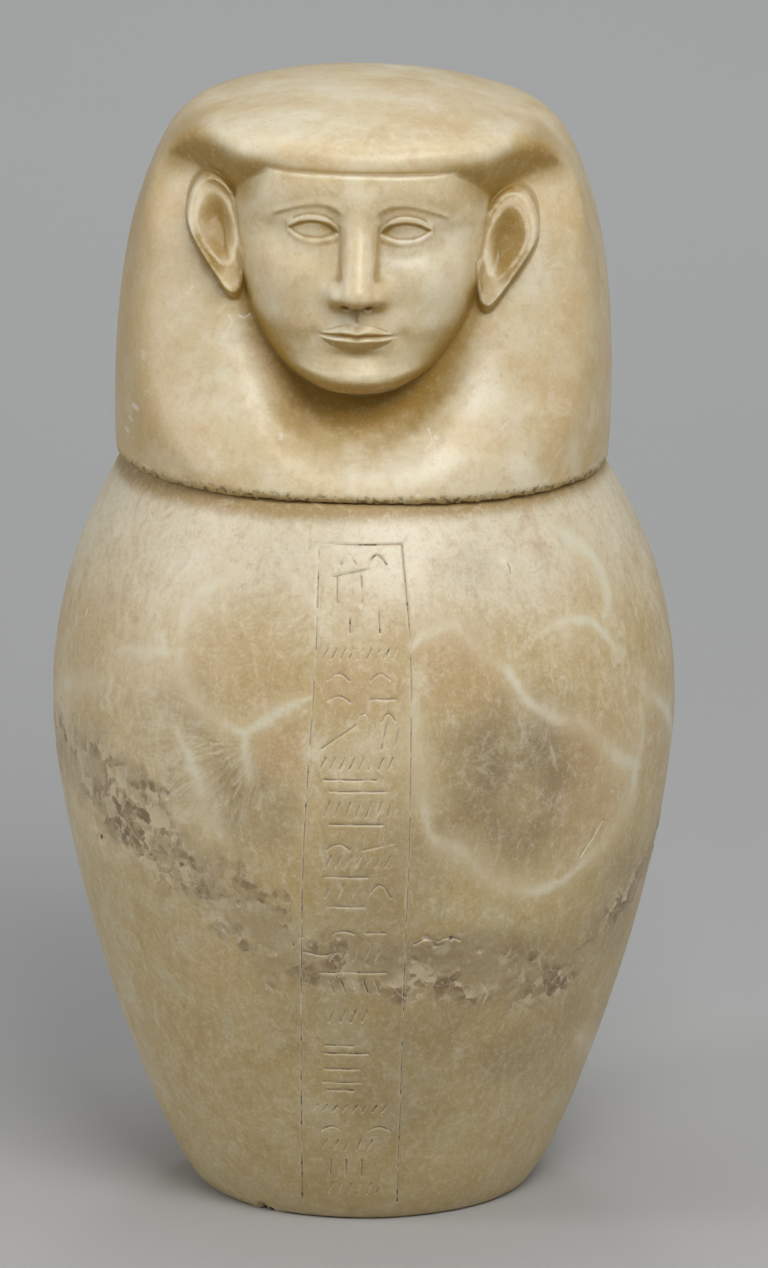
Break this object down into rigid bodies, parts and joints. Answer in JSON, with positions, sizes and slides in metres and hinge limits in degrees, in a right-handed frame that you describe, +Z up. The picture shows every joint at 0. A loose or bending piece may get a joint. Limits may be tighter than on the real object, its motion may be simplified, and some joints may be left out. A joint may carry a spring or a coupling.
{
  "type": "canopic jar",
  "caption": "Hollow travertine jar with a slender foot and high shoulder, an engraved column of worn marks on its front, and a plug lid carved as a human head in a smooth wig.",
  "frame": {"origin": "on the ground under the middle of the object's bounding box, which is the jar's own axis", "axes": "+Z up along the jar's axis; the lid's face looks along -Y; +X is to the viewer's right"},
  "size_m": [0.264, 0.264, 0.4804],
  "materials": {
    "travertine_jar": "satin, worn, banded tan and olive brown",
    "travertine_lid": "satin, worn, cream"
  },
  "bodies": {
    "root": {"jar": "travertine_jar", "head_lid": "travertine_lid"}
  },
  "joints": []
}
